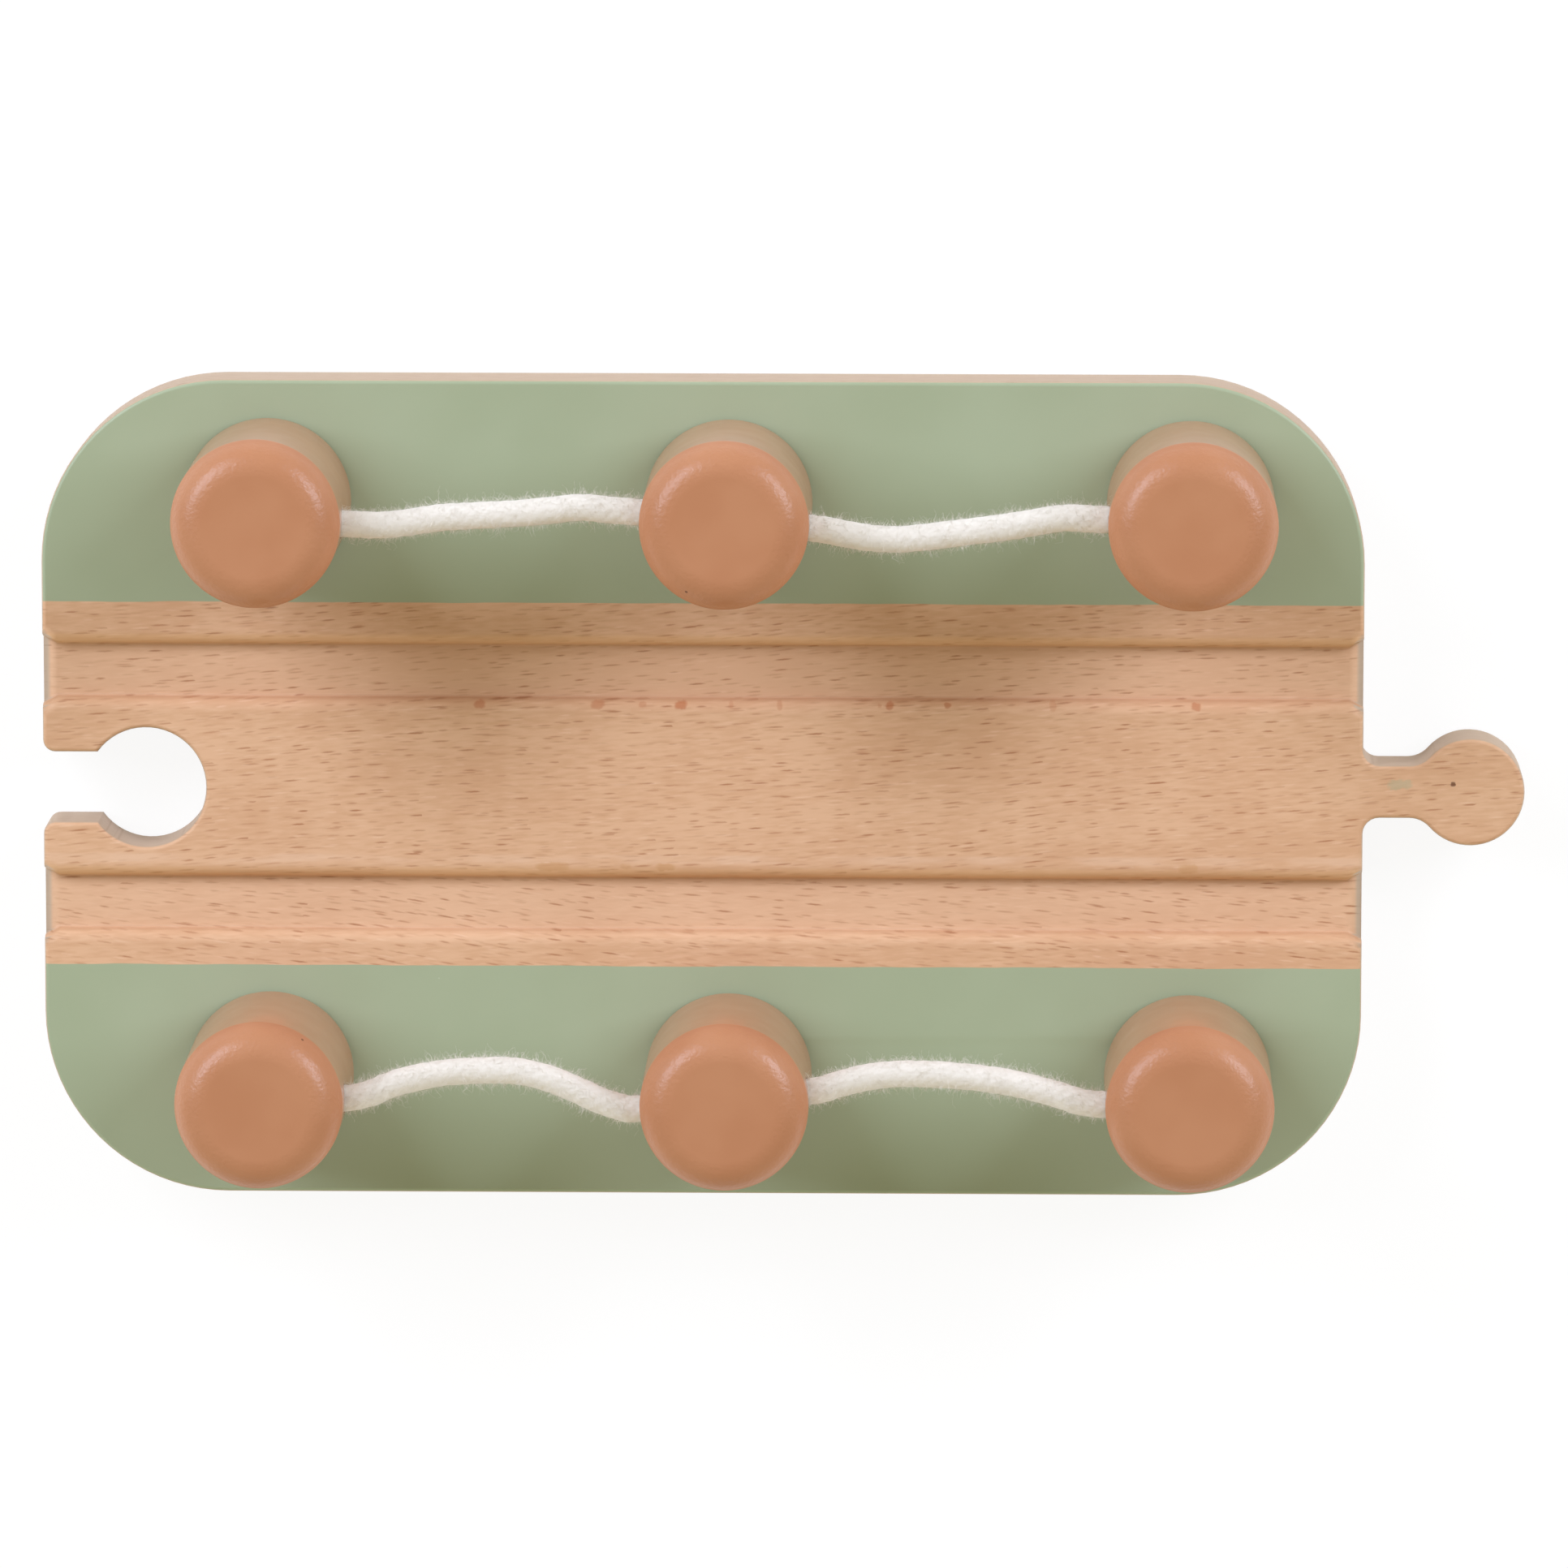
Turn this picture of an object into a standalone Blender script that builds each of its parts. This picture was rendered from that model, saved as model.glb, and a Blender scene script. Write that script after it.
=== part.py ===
# Straight toy-railway track section with rope railings, as one solid beech deck
# board with two wheel grooves, a peg at one end and a keyhole socket at the other,
# six turned posts on hidden dowels, and one cotton rope threaded along each side.
#
# Units are metres, +Z is up. The origin is the centre of the deck's underside,
# +X points towards the peg and +Y towards the far row of posts.

import math

import bmesh
import bpy
from mathutils import Matrix, Vector

# Deck board
DECK_LENGTH = 0.144
DECK_WIDTH = 0.0896
DECK_THICKNESS = 0.008
DECK_CORNER_RADIUS = 0.020
DECK_EDGE_ROUND = 0.0005

# Wheel grooves: the gauge is measured between the centre lines of the grooves, and the width
# between the steepest places of the walls
GROOVE_GAUGE = 0.0256
GROOVE_WIDTH = 0.0058
GROOVE_DEPTH = 0.0017
GROOVE_LIP_ROUND = 0.0016
GROOVE_FLOOR_FILLET = 0.0003
GROOVE_FLARE = 0.0008
GROOVE_FLARE_LENGTH = 0.0016

# Peg: its reach is measured from the end of the deck to the tip of the head
PEG_REACH = 0.0176
PEG_HEAD_DIAMETER = 0.0118
PEG_NECK_WIDTH = 0.0058
PEG_ROOT_FILLET = 0.0018
PEG_HEAD_FILLET = 0.0030

# Socket: its inset is measured from the end of the deck to the centre of the hole
SOCKET_DIAMETER = 0.0131
SOCKET_INSET = 0.01125
SOCKET_MOUTH_WIDTH = 0.0077
SOCKET_MOUTH_ROUND = 0.0013

# Posts: the height is measured from the deck, the shift along X from its middle, and the
# inset from the deck's side to the middle of a row. The flat top ends at a faint edge, where
# the rounded rim starts with the slope, in degrees.
POST_DIAMETER = 0.0182
POST_HEIGHT = 0.024
POST_TOP_FLAT = 0.0112
POST_RIM_SLOPE = 5.0
POST_FOOT_CHAMFER = 0.0004
POST_PITCH = 0.05015
POST_SHIFT = 0.0029
POST_EDGE_INSET = 0.01325

# Dowels that hold the posts
DOWEL_DIAMETER = 0.008
DOWEL_IN_DECK = 0.0052
DOWEL_IN_POST = 0.0100
DOWEL_END_CHAMFER = 0.0008

# Ropes: the height is that of the rope holes above the deck
ROPE_DIAMETER = 0.0030
ROPE_HEIGHT = 0.016
ROPE_SEAT_DEPTH = 0.0074

# Clearances: a glue line between wooden pieces, and the play of a rope in its hole
GLUE_GAP = 0.0003
ROPE_PLAY = 0.0005

# How far a cutter reaches past the surface that it opens
CUT_MARGIN = 0.002

# Facets: points on each kind of round
CORNER_STEPS = 20
FILLET_STEPS = 6
CONNECTOR_STEPS = 44
POST_STEPS = 48
DOWEL_STEPS = 24
HOLE_STEPS = 24
ROUND_STEPS = 6
ROUTE_STEPS = 16

# Each post hole is drilled by hand and turned a little from the row, in degrees
ROPE_HOLE_YAW = {
    "socket_far": -3.0,
    "middle_far": -5.0,
    "peg_far": -1.0,
    "socket_near": 0.0,
    "middle_near": 6.0,
    "peg_near": 2.0,
}

# Rope routes, from the socket-end post to the peg-end post, through the middle one.
# Each point is (along X, along Y, up) from the middle post's axis at the hole height.
ROPE_ROUTES = {
    "far": [
        (-0.0482, -0.0001, 0.0),
        (-0.0446, -0.0003, 0.0),
        (-0.0410, -0.0005, 0.0),
        (-0.0376, -0.0007, -0.0004),
        (-0.0342, -0.0005, -0.0010),
        (-0.0305, 0.0000, -0.0016),
        (-0.0265, 0.0002, -0.0020),
        (-0.0225, 0.0004, -0.0021),
        (-0.0188, 0.0008, -0.0018),
        (-0.0155, 0.0012, -0.0012),
        (-0.0123, 0.0010, -0.0005),
        (-0.0091, 0.0008, 0.0),
        (0.0, 0.0, 0.0),
        (0.0091, -0.0008, 0.0),
        (0.0124, -0.0014, -0.0005),
        (0.0156, -0.0020, -0.0011),
        (0.0188, -0.0022, -0.0016),
        (0.0222, -0.0019, -0.0020),
        (0.0260, -0.0014, -0.0021),
        (0.0299, -0.0009, -0.0018),
        (0.0335, -0.0002, -0.0012),
        (0.0364, 0.0003, -0.0006),
        (0.0387, 0.0003, -0.0002),
        (0.0410, 0.0002, 0.0),
        (0.0446, 0.0001, 0.0),
        (0.0482, 0.0, 0.0),
    ],
    "near": [
        (-0.0482, 0.0, 0.0),
        (-0.0446, 0.0, 0.0),
        (-0.0410, 0.0, 0.0),
        (-0.0385, 0.0005, -0.0003),
        (-0.0362, 0.0014, -0.0007),
        (-0.0334, 0.0021, -0.0012),
        (-0.0300, 0.0026, -0.0017),
        (-0.0262, 0.0028, -0.0020),
        (-0.0226, 0.0027, -0.0020),
        (-0.0194, 0.0021, -0.0016),
        (-0.0166, 0.0011, -0.0011),
        (-0.0140, 0.0, -0.0006),
        (-0.0115, -0.0008, -0.0002),
        (-0.0091, -0.00096, 0.0),
        (0.0, 0.0, 0.0),
        (0.0091, 0.00096, 0.0),
        (0.0122, 0.0017, -0.0004),
        (0.0154, 0.0024, -0.0010),
        (0.0188, 0.0027, -0.0015),
        (0.0225, 0.0026, -0.0019),
        (0.0264, 0.0023, -0.0020),
        (0.0300, 0.0019, -0.0017),
        (0.0332, 0.0013, -0.0012),
        (0.0360, 0.0006, -0.0007),
        (0.0386, -0.0001, -0.0002),
        (0.0410, -0.0003, 0.0),
        (0.0446, -0.0002, 0.0),
        (0.0482, -0.0001, 0.0),
    ],
}

# Colours are linear RGB
BEECH = (0.67, 0.40, 0.25)
TERRACOTTA = (0.53, 0.25, 0.13)
DOWEL_BEECH = (0.72, 0.52, 0.35)
COTTON = (0.80, 0.76, 0.68)


def clear_scene():
    for item in list(bpy.data.objects):
        bpy.data.objects.remove(item, do_unlink=True)


def add_collection(name):
    collection = bpy.data.collections.new(name)
    bpy.context.scene.collection.children.link(collection)
    return collection


def add_material(name, colour, roughness):
    material = bpy.data.materials.new(name)
    material.use_nodes = True
    shader = material.node_tree.nodes["Principled BSDF"]
    shader.inputs["Base Color"].default_value = (*colour, 1.0)
    shader.inputs["Roughness"].default_value = roughness
    shader.inputs["Metallic"].default_value = 0.0
    return material


def mesh_object(name, mesh, collection):
    item = bpy.data.objects.new(name, mesh)
    collection.objects.link(item)
    return item


def finish_part(item, material, smooth_angle=40.0):
    item.data.materials.clear()
    item.data.materials.append(material)
    if item.type == "MESH":
        item.data.shade_smooth()
        item.data.set_sharp_from_angle(angle=math.radians(smooth_angle))


def arc(centre_x, centre_y, radius, start, end, steps):
    """Points on an arc between two angles in degrees, both ends included."""
    points = []
    for step in range(steps + 1):
        angle = math.radians(start + (end - start) * step / steps)
        points.append((centre_x + radius * math.cos(angle), centre_y + radius * math.sin(angle)))
    return points


def mirror_across_x(points):
    """The same run of points on the other side of the track's axis, in reverse."""
    return [(x, -y) for x, y in reversed(points)]


def peg_side():
    """Near half of the peg, from the deck's end up to the tip of the head."""
    end = DECK_LENGTH / 2
    neck = PEG_NECK_WIDTH / 2
    head = PEG_HEAD_DIAMETER / 2
    head_x = end + PEG_REACH - head
    reach = math.sqrt((head + PEG_HEAD_FILLET) ** 2 - (neck + PEG_HEAD_FILLET) ** 2)
    blend_x = head_x - reach
    blend_y = -neck - PEG_HEAD_FILLET
    towards_head = math.degrees(math.atan2(-blend_y, reach))
    root = arc(end + PEG_ROOT_FILLET, -neck - PEG_ROOT_FILLET, PEG_ROOT_FILLET, 180, 90, FILLET_STEPS)
    blend = arc(blend_x, blend_y, PEG_HEAD_FILLET, 90, towards_head, FILLET_STEPS)
    tip = arc(head_x, 0.0, head, towards_head - 180, 0, CONNECTOR_STEPS // 2)
    return root + blend + tip[1:]


def socket_side():
    """Far half of the keyhole socket, from the deck's end in to the back of the hole."""
    end = -DECK_LENGTH / 2
    mouth = SOCKET_MOUTH_WIDTH / 2
    hole = SOCKET_DIAMETER / 2
    ease = SOCKET_MOUTH_ROUND
    lip = arc(end + ease, mouth + ease, ease, 180, 270, FILLET_STEPS)
    throat = 180 - math.degrees(math.asin(mouth / hole))
    back = arc(end + SOCKET_INSET, 0.0, hole, throat, 0, CONNECTOR_STEPS // 2)
    return lip + back


def deck_outline():
    """Outline of the board seen from above, anticlockwise, with peg and socket."""
    corner_x = DECK_LENGTH / 2 - DECK_CORNER_RADIUS
    corner_y = DECK_WIDTH / 2 - DECK_CORNER_RADIUS
    peg = peg_side()
    socket = socket_side()
    points = arc(-corner_x, -corner_y, DECK_CORNER_RADIUS, 180, 270, CORNER_STEPS)
    points += arc(corner_x, -corner_y, DECK_CORNER_RADIUS, 270, 360, CORNER_STEPS)
    points += peg + mirror_across_x(peg)[1:]
    points += arc(corner_x, corner_y, DECK_CORNER_RADIUS, 0, 90, CORNER_STEPS)
    points += arc(-corner_x, corner_y, DECK_CORNER_RADIUS, 90, 180, CORNER_STEPS)
    points += socket + mirror_across_x(socket)[1:]
    return points


def poly_curve(name, points, dimensions, cyclic):
    curve = bpy.data.curves.new(name, "CURVE")
    curve.dimensions = dimensions
    spline = curve.splines.new("POLY")
    spline.points.add(len(points) - 1)
    for spot, point in zip(spline.points, points):
        spot.co = (*point, 1.0)
    spline.use_cyclic_u = cyclic
    return curve


def curve_to_mesh_object(curve_object, collection):
    """Replace a curve by a mesh with its caps welded on, so that it can be cut."""
    bpy.context.view_layer.update()
    evaluated = curve_object.evaluated_get(bpy.context.evaluated_depsgraph_get())
    mesh = bpy.data.meshes.new_from_object(evaluated)
    shape = bmesh.new()
    shape.from_mesh(mesh)
    bmesh.ops.remove_doubles(shape, verts=shape.verts, dist=1e-6)
    bmesh.ops.recalc_face_normals(shape, faces=shape.faces)
    shape.to_mesh(mesh)
    shape.free()
    name = curve_object.name
    place = curve_object.matrix_world.copy()
    bpy.data.objects.remove(curve_object, do_unlink=True)
    item = mesh_object(name, mesh, collection)
    item.matrix_world = place
    return item


def loft(name, sections, collection):
    """Closed solid through matching loops of points."""
    shape = bmesh.new()
    loops = [[shape.verts.new(point) for point in section] for section in sections]
    count = len(loops[0])
    for first, second in zip(loops, loops[1:]):
        for index in range(count):
            after = (index + 1) % count
            shape.faces.new((first[index], first[after], second[after], second[index]))
    shape.faces.new(loops[0])
    shape.faces.new(reversed(loops[-1]))
    bmesh.ops.recalc_face_normals(shape, faces=shape.faces)
    mesh = bpy.data.meshes.new(name)
    shape.to_mesh(mesh)
    shape.free()
    return mesh_object(name, mesh, collection)


def turned(name, profile, steps, collection):
    """Solid of revolution about Z from (radius, height) points that run from top to bottom."""
    shape = bmesh.new()
    verts = [shape.verts.new((radius, 0.0, height)) for radius, height in profile]
    for first, second in zip(verts, verts[1:]):
        shape.edges.new((first, second))
    mesh = bpy.data.meshes.new(name)
    shape.to_mesh(mesh)
    shape.free()
    item = mesh_object(name, mesh, collection)
    screw = item.modifiers.new("turn", "SCREW")
    screw.axis = "Z"
    screw.steps = steps
    screw.render_steps = steps
    screw.use_merge_vertices = True
    screw.merge_threshold = 1e-6
    return item


def rod_cutter(name, radius, start, end, collection):
    """Round cutter between two points."""
    direction = Vector(end) - Vector(start)
    shape = bmesh.new()
    bmesh.ops.create_cone(
        shape,
        cap_ends=True,
        segments=HOLE_STEPS,
        radius1=radius,
        radius2=radius,
        depth=direction.length,
    )
    turn = direction.to_track_quat("Z", "Y").to_matrix().to_4x4()
    middle = Matrix.Translation((Vector(start) + Vector(end)) / 2)
    bmesh.ops.transform(shape, matrix=middle @ turn, verts=shape.verts)
    mesh = bpy.data.meshes.new(name)
    shape.to_mesh(mesh)
    shape.free()
    return mesh_object(name, mesh, collection)


def cut(item, cutter):
    cutter.hide_render = True
    cutter.display_type = "WIRE"
    boolean = item.modifiers.new("cut_" + cutter.name, "BOOLEAN")
    boolean.operation = "DIFFERENCE"
    boolean.solver = "EXACT"
    boolean.object = cutter


def groove_section(x, centre_y, flare, drop):
    """Cross-section of a groove cutter, made wider by the flare and deeper by the drop.

    Each wall is a rounded lip that runs into a floor fillet. It is upright between them where
    the groove is deeper than both radii, and otherwise as steep as they allow.
    """
    wall = GROOVE_WIDTH / 2 + flare
    depth = GROOVE_DEPTH + drop
    floor = DECK_THICKNESS - depth
    bend = math.acos(max(0.0, 1 - depth / (GROOVE_LIP_ROUND + GROOVE_FLOOR_FILLET)))
    turn = math.degrees(bend)
    lip_y = wall + GROOVE_LIP_ROUND * math.sin(bend)
    fillet_y = wall - GROOVE_FLOOR_FILLET * math.sin(bend)
    lip = arc(lip_y, DECK_THICKNESS - GROOVE_LIP_ROUND, GROOVE_LIP_ROUND, 90, 90 + turn, ROUND_STEPS)
    fillet = arc(fillet_y, floor + GROOVE_FLOOR_FILLET, GROOVE_FLOOR_FILLET, turn - 90, -90, FILLET_STEPS)
    slope = (lip[0][1] - lip[1][1]) / (lip[0][0] - lip[1][0])
    outer = lip[0][0] + CUT_MARGIN
    side = [(outer, DECK_THICKNESS + CUT_MARGIN), (outer, DECK_THICKNESS + slope * CUT_MARGIN)]
    side += lip[1:] + fillet[1:]
    loop = side + [(-y, z) for y, z in reversed(side)]
    return [(x, centre_y + y, z) for y, z in loop]


def groove_cutter(name, centre_y, collection):
    """Groove along the whole deck, opening out a little at both ends."""
    end = DECK_LENGTH / 2
    stations = [
        (-end - CUT_MARGIN, GROOVE_FLARE, DECK_EDGE_ROUND),
        (-end, GROOVE_FLARE, DECK_EDGE_ROUND),
        (-end + GROOVE_FLARE_LENGTH, 0.0, 0.0),
        (end - GROOVE_FLARE_LENGTH, 0.0, 0.0),
        (end, GROOVE_FLARE, DECK_EDGE_ROUND),
        (end + CUT_MARGIN, GROOVE_FLARE, DECK_EDGE_ROUND),
    ]
    sections = [groove_section(x, centre_y, flare, drop) for x, flare, drop in stations]
    return loft(name, sections, collection)


def post_places():
    """Foot of each post on the deck, by name."""
    places = {}
    for row, side in (("far", 1), ("near", -1)):
        y = side * (DECK_WIDTH / 2 - POST_EDGE_INSET)
        for place, step in (("socket", -1), ("middle", 0), ("peg", 1)):
            x = POST_SHIFT + step * POST_PITCH
            places[f"{place}_{row}"] = Vector((x, y, DECK_THICKNESS))
    return places


def make_deck(parts, cutters, material):
    curve = poly_curve("deck_board", [(x, y, 0.0) for x, y in deck_outline()], "2D", cyclic=True)
    curve.fill_mode = "BOTH"
    curve.extrude = DECK_THICKNESS / 2 - DECK_EDGE_ROUND
    curve.bevel_depth = DECK_EDGE_ROUND
    curve.bevel_resolution = 1
    curve.offset = -DECK_EDGE_ROUND
    board = bpy.data.objects.new("deck_board", curve)
    parts.objects.link(board)
    board.location = (0.0, 0.0, DECK_THICKNESS / 2)
    board = curve_to_mesh_object(board, parts)
    for row, side in (("far", 1), ("near", -1)):
        cut(board, groove_cutter(f"groove_{row}", side * GROOVE_GAUGE / 2, cutters))
    for name, foot in post_places().items():
        bottom = foot - Vector((0.0, 0.0, DOWEL_IN_DECK + GLUE_GAP))
        top = foot + Vector((0.0, 0.0, CUT_MARGIN))
        hole = rod_cutter(f"deck_hole_{name}", DOWEL_DIAMETER / 2 + GLUE_GAP, bottom, top, cutters)
        cut(board, hole)
    finish_part(board, material)
    return board


def post_profile():
    """Half profile of a post, top to bottom: flat, rounded rim, straight side and eased foot."""
    radius = POST_DIAMETER / 2
    slope = math.radians(POST_RIM_SLOPE)
    rim = (radius - POST_TOP_FLAT / 2) / (1 - math.sin(slope))
    rim_height = POST_HEIGHT - rim * math.cos(slope)
    foot = GLUE_GAP
    points = [(0.0, POST_HEIGHT)]
    points += arc(radius - rim, rim_height, rim, 90 - POST_RIM_SLOPE, 0, ROUND_STEPS)
    points += [(radius, foot + POST_FOOT_CHAMFER), (radius - POST_FOOT_CHAMFER, foot), (0.0, foot)]
    return points


def rope_hole(name, foot, cutters):
    """Hole for the rope: right through a middle post, blind in an end post."""
    yaw = math.radians(ROPE_HOLE_YAW[name])
    along = Vector((math.cos(yaw), math.sin(yaw), 0.0))
    centre = foot + Vector((0.0, 0.0, ROPE_HEIGHT))
    past = POST_DIAMETER / 2 + CUT_MARGIN
    blind = POST_DIAMETER / 2 - ROPE_SEAT_DEPTH - GLUE_GAP
    spans = {"socket": (blind, past), "middle": (-past, past), "peg": (-past, -blind)}
    start, end = spans[name.split("_")[0]]
    radius = ROPE_DIAMETER / 2 + ROPE_PLAY
    return rod_cutter(f"rope_hole_{name}", radius, centre + along * start, centre + along * end, cutters)


def make_post(name, foot, parts, cutters, material):
    post = turned(f"post_{name}", post_profile(), POST_STEPS, parts)
    post.location = foot
    below = foot + Vector((0.0, 0.0, -CUT_MARGIN))
    above = foot + Vector((0.0, 0.0, DOWEL_IN_POST + 2 * GLUE_GAP))
    cut(post, rod_cutter(f"post_hole_{name}", DOWEL_DIAMETER / 2 + GLUE_GAP, below, above, cutters))
    cut(post, rope_hole(name, foot, cutters))
    finish_part(post, material)
    return post


def make_dowel(name, foot, parts, material):
    radius = DOWEL_DIAMETER / 2
    top = GLUE_GAP + DOWEL_IN_POST
    bottom = -DOWEL_IN_DECK
    profile = [
        (0.0, top),
        (radius - DOWEL_END_CHAMFER, top),
        (radius, top - DOWEL_END_CHAMFER),
        (radius, bottom + DOWEL_END_CHAMFER),
        (radius - DOWEL_END_CHAMFER, bottom),
        (0.0, bottom),
    ]
    dowel = turned(f"dowel_{name}", profile, DOWEL_STEPS, parts)
    dowel.location = foot
    finish_part(dowel, material)
    return dowel


def smooth_through(points, spacing):
    """Evenly spaced points on a smooth curve through the points of a route."""
    ends = [points[0] * 2 - points[1], *points, points[-1] * 2 - points[-2]]
    fine = []
    for before, start, end, after in zip(ends, ends[1:], ends[2:], ends[3:]):
        for step in range(ROUTE_STEPS):
            t = step / ROUTE_STEPS
            fine.append(
                0.5
                * (
                    2 * start
                    + (end - before) * t
                    + (2 * before - 5 * start + 4 * end - after) * t**2
                    + (3 * start - before - 3 * end + after) * t**3
                )
            )
    fine.append(points[-1])
    lengths = [0.0]
    for first, second in zip(fine, fine[1:]):
        lengths.append(lengths[-1] + (second - first).length)
    count = max(2, round(lengths[-1] / spacing))
    even = []
    index = 0
    for step in range(count + 1):
        target = lengths[-1] * step / count
        while index < len(fine) - 2 and lengths[index + 1] < target:
            index += 1
        share = (target - lengths[index]) / (lengths[index + 1] - lengths[index])
        even.append(fine[index].lerp(fine[index + 1], share))
    return even, lengths[-1]


def make_rope(row, middle_foot, parts, material):
    start = middle_foot + Vector((0.0, 0.0, ROPE_HEIGHT))
    route = [start + Vector(point) for point in ROPE_ROUTES[row]]
    points, length = smooth_through(route, 2 * ROPE_DIAMETER)
    curve = poly_curve(f"rope_{row}", [tuple(point) for point in points], "3D", cyclic=False)
    curve.bevel_depth = ROPE_DIAMETER / 2
    curve.bevel_resolution = 2
    curve.use_fill_caps = True
    rope = bpy.data.objects.new(f"rope_{row}", curve)
    parts.objects.link(rope)
    finish_part(rope, material)
    print(f"rope_{row}: {length * 1000:.1f} mm long")
    return rope


def main():
    clear_scene()
    parts = add_collection("rope_railed_track")
    cutters = add_collection("cutters")
    make_deck(parts, cutters, add_material("beech", BEECH, 0.45))
    places = post_places()
    for name, foot in places.items():
        make_post(name, foot, parts, cutters, add_material(f"paint_{name}", TERRACOTTA, 0.35))
        make_dowel(name, foot, parts, add_material(f"dowel_wood_{name}", DOWEL_BEECH, 0.7))
    for row in ROPE_ROUTES:
        make_rope(row, places[f"middle_{row}"], parts, add_material(f"cotton_{row}", COTTON, 0.95))


main()
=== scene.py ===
# %% [markdown]
# # A rope-railed track section for a wooden railway
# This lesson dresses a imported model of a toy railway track: a beech deck with painted margins,
# six turned posts and two soft cotton ropes. The frame brings every solid at its real size and
# place, in metres, so the pieces made here only add shape that light can play on, and finish.

# %% Load the frame
import math

import bmesh
import bpy
from mathutils import Matrix, Vector


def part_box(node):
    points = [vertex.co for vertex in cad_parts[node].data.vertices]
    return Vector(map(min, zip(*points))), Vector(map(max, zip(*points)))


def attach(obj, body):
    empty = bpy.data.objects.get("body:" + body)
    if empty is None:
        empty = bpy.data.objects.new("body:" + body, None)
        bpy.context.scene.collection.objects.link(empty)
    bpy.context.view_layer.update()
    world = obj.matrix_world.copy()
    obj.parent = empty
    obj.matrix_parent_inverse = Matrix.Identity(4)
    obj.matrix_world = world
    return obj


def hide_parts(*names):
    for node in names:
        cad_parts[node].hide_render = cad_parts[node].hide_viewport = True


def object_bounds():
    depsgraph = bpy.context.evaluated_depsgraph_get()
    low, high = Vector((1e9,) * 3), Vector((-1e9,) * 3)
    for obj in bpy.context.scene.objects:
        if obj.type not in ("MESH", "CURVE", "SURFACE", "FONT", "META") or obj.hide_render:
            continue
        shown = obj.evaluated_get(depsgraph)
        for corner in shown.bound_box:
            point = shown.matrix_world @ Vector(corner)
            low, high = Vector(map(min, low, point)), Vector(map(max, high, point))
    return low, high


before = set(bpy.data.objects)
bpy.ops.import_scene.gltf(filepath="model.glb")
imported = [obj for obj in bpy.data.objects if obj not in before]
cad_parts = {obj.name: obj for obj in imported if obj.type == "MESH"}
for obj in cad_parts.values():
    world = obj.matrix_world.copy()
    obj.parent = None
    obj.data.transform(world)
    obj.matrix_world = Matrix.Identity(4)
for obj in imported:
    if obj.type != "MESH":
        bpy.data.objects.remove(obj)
cad_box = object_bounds()
MM = 0.001
ROWS = ("far", "near")
PLACES = ("socket", "middle", "peg")
DECK_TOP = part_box("deck_board")[1].z
print(f"frame: {len(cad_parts)} nodes, deck top at {DECK_TOP / MM:.1f} mm")

# %% [markdown]
# The camera stands almost straight above the track, a little beyond its far edge, which is why
# the far walls of the deck and the posts show and the near ones don't. A long lens from more
# than a metre away keeps the two ends nearly parallel. The turn is given in the order Z, Y, X,
# so that its first number is simply the tilt.

# %% Camera
CAMERA_PLACE = (34.473 * MM, 177.266 * MM, 1204.789 * MM)
CAMERA_TILT = (-8.3954, 1.2103, 0.2259)
SENSOR_WIDTH = 36.0
LENS = 254.784

camera_data = bpy.data.cameras.new("track_camera")
camera_data.sensor_width = SENSOR_WIDTH
camera_data.lens = LENS
camera_data.clip_end = 20.0
camera = bpy.data.objects.new("track_camera", camera_data)
camera.rotation_mode = "ZYX"
camera.rotation_euler = [math.radians(angle) for angle in CAMERA_TILT]
camera.location = CAMERA_PLACE
bpy.context.scene.collection.objects.link(camera)
bpy.context.scene.camera = camera
print(f"camera: {LENS:.0f} mm lens, {camera.location.length:.2f} m from the track")

# %% [markdown]
# Node trees grow quickly, so a small kit keeps them readable. A Value wraps one output socket
# and adds Math nodes when it is used in an expression, and a Tree makes every other node with
# one method: its settings first, then the numbers or links of its sockets.


# %% Node kit
class Value:
    """An output socket that adds Math nodes when it is used in an expression."""

    def __init__(self, tree, socket):
        self.tree = tree
        self.socket = socket

    def math(self, operation, *others):
        sockets = dict(enumerate((self, *others)))
        return self.tree.node("ShaderNodeMath", {"operation": operation}, sockets)

    def reflected(self, operation, other):
        return self.tree.node("ShaderNodeMath", {"operation": operation}, {0: other, 1: self})

    def __add__(self, other):
        return self.math("ADD", other)

    def __radd__(self, other):
        return self.math("ADD", other)

    def __sub__(self, other):
        return self.math("SUBTRACT", other)

    def __rsub__(self, other):
        return self.reflected("SUBTRACT", other)

    def __mul__(self, other):
        return self.math("MULTIPLY", other)

    def __rmul__(self, other):
        return self.math("MULTIPLY", other)

    def __truediv__(self, other):
        return self.math("DIVIDE", other)

    def __abs__(self):
        return self.math("ABSOLUTE")

    def __gt__(self, other):
        return self.math("GREATER_THAN", other)

    def __lt__(self, other):
        return self.math("LESS_THAN", other)

    def of(self, output):
        """Another output of the same node."""
        return Value(self.tree, self.socket.node.outputs[output])

    def step(self, start, end):
        """A soft step from 0 at start to 1 at end; it falls where end is below start."""
        return self.tree.node(
            "ShaderNodeMapRange",
            {"interpolation_type": "SMOOTHSTEP"},
            {0: self, 1: start, 2: end, 3: 0.0, 4: 1.0},
        )


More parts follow.
